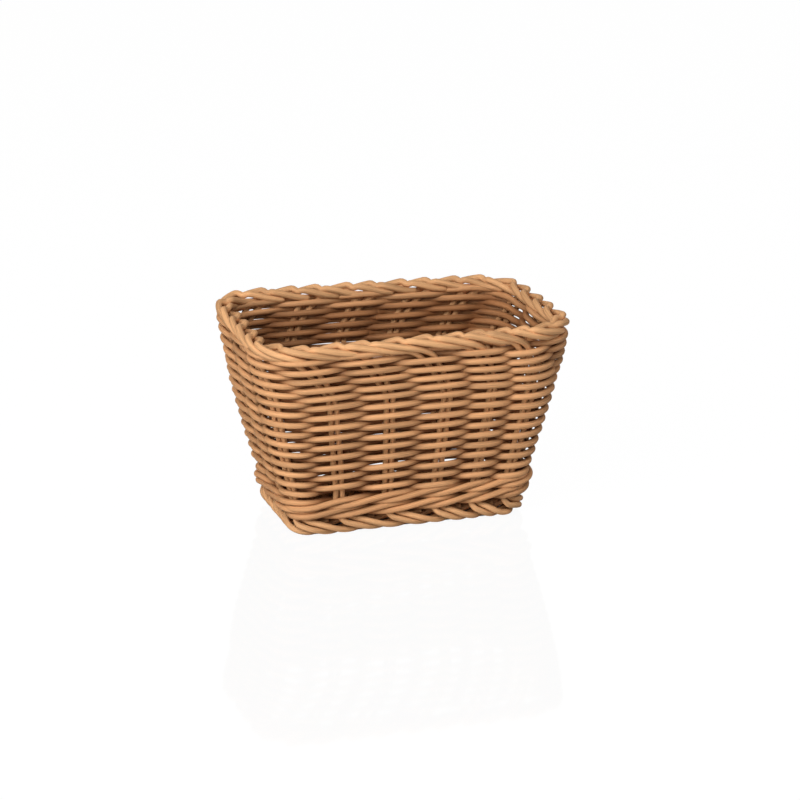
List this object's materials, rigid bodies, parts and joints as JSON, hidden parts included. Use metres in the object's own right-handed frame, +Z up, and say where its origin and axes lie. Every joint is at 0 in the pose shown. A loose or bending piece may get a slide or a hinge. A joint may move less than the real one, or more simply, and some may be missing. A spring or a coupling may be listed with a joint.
{
  "type": "serving basket",
  "caption": "Rectangular tapered serving basket woven from round synthetic cane, open at the top, with a rolled rim and a rolled foot, for bread or cutlery.",
  "frame": {"origin": "centre of the foot, on the surface that the basket stands on", "axes": "+X along the long side, +Y from the front to the back, +Z up"},
  "size_m": [0.22, 0.145, 0.14],
  "materials": {
    "stake_cane": "satin, finely streaked",
    "weave_cane": "satin, finely streaked",
    "wale_cane": "satin, finely streaked",
    "base_cane": "satin, finely streaked"
  },
  "bodies": {
    "root": {"stake_01_left": "stake_cane", "stake_01_right": "stake_cane", "stake_02_left": "stake_cane", "stake_02_right": "stake_cane", "stake_03_left": "stake_cane", "stake_03_right": "stake_cane", "stake_04_left": "stake_cane", "stake_04_right": "stake_cane", "stake_05_left": "stake_cane", "stake_05_right": "stake_cane", "stake_06_left": "stake_cane", "stake_06_right": "stake_cane", "stake_07_left": "stake_cane", "stake_07_right": "stake_cane", "stake_08_left": "stake_cane", "stake_08_right": "stake_cane", "stake_09_left": "stake_cane", "stake_09_right": "stake_cane", "stake_10_left": "stake_cane", "stake_10_right": "stake_cane", "stake_11_left": "stake_cane", "stake_11_right": "stake_cane", "stake_12_left": "stake_cane", "stake_12_right": "stake_cane", "stake_13_left": "stake_cane", "stake_13_right": "stake_cane", "stake_14_left": "stake_cane", "stake_14_right": "stake_cane", "stake_15_left": "stake_cane", "stake_15_right": "stake_cane", "stake_16_left": "stake_cane", "stake_16_right": "stake_cane", "weave_1a": "weave_cane", "weave_1b": "weave_cane", "weave_2a": "weave_cane", "weave_2b": "weave_cane", "weave_3a": "weave_cane", "weave_3b": "weave_cane", "weave_4a": "weave_cane", "weave_4b": "weave_cane", "weave_5a": "weave_cane", "weave_5b": "weave_cane", "weave_6a": "weave_cane", "weave_6b": "weave_cane", "weave_7a": "weave_cane", "weave_7b": "weave_cane", "wale_1": "wale_cane", "wale_2": "wale_cane", "wale_3": "wale_cane", "base_stick_1": "base_cane", "base_stick_2": "base_cane", "base_stick_3": "base_cane", "base_stick_4": "base_cane", "base_stick_5": "base_cane", "base_weaver": "base_cane"}
  },
  "joints": []
}
